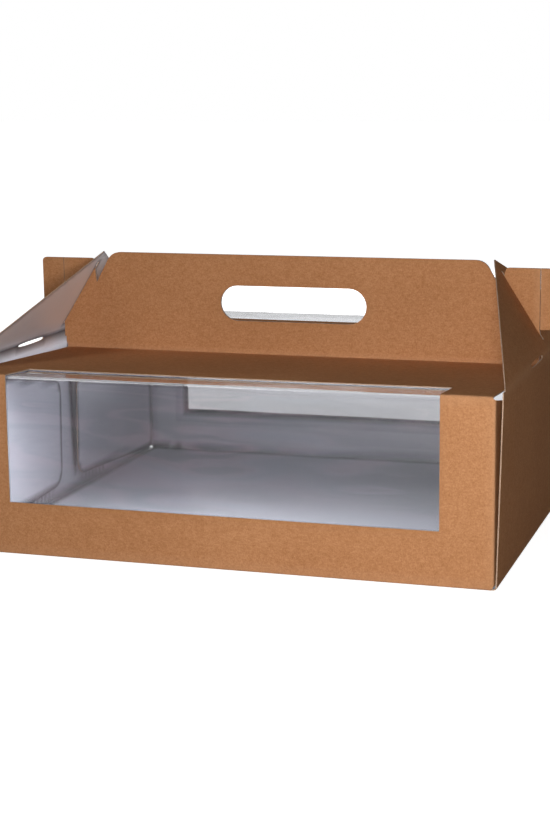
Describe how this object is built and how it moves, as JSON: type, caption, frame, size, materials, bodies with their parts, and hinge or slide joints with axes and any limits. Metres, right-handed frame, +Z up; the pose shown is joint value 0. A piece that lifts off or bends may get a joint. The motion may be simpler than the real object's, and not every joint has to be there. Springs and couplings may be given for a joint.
{
  "type": "cake box with carrying handle and window",
  "caption": "Low square kraft board cake box with a carrying handle on its roof, triangular side gussets hooked on folding ears, and clear film windows that run over its front and rear edges.",
  "frame": {"origin": "middle of the underside of the bottom panel", "axes": "+X to the box's right along the handle, -Y out of the window, +Z up"},
  "size_m": [0.2854, 0.248, 0.1357],
  "materials": {
    "kraft_board": "uncoated brown kraft outside, off-white inside",
    "clear_film": "clear gloss film"
  },
  "bodies": {
    "box": {"carton": "kraft_board", "front_film": "clear_film", "rear_film": "clear_film"},
    "front_left_tab": {"front_left_tab": "kraft_board"},
    "front_right_tab": {"front_right_tab": "kraft_board"},
    "rear_left_tab": {"rear_left_tab": "kraft_board"},
    "rear_right_tab": {"rear_right_tab": "kraft_board"}
  },
  "joints": [
    {"name": "front_left_tab_fold", "type": "hinge", "parent": "box", "child": "front_left_tab", "pos_m": [-0.1302, -0.0008, 0.1165], "axis": [0, 0, 1], "range_deg": [0, 90]},
    {"name": "front_right_tab_fold", "type": "hinge", "parent": "box", "child": "front_right_tab", "pos_m": [0.1302, -0.0008, 0.1165], "axis": [0, 0, -1], "range_deg": [0, 90]},
    {"name": "rear_left_tab_fold", "type": "hinge", "parent": "box", "child": "rear_left_tab", "pos_m": [-0.1302, 0.0008, 0.1165], "axis": [0, 0, -1], "range_deg": [0, 90]},
    {"name": "rear_right_tab_fold", "type": "hinge", "parent": "box", "child": "rear_right_tab", "pos_m": [0.1302, 0.0008, 0.1165], "axis": [0, 0, 1], "range_deg": [0, 90]}
  ]
}
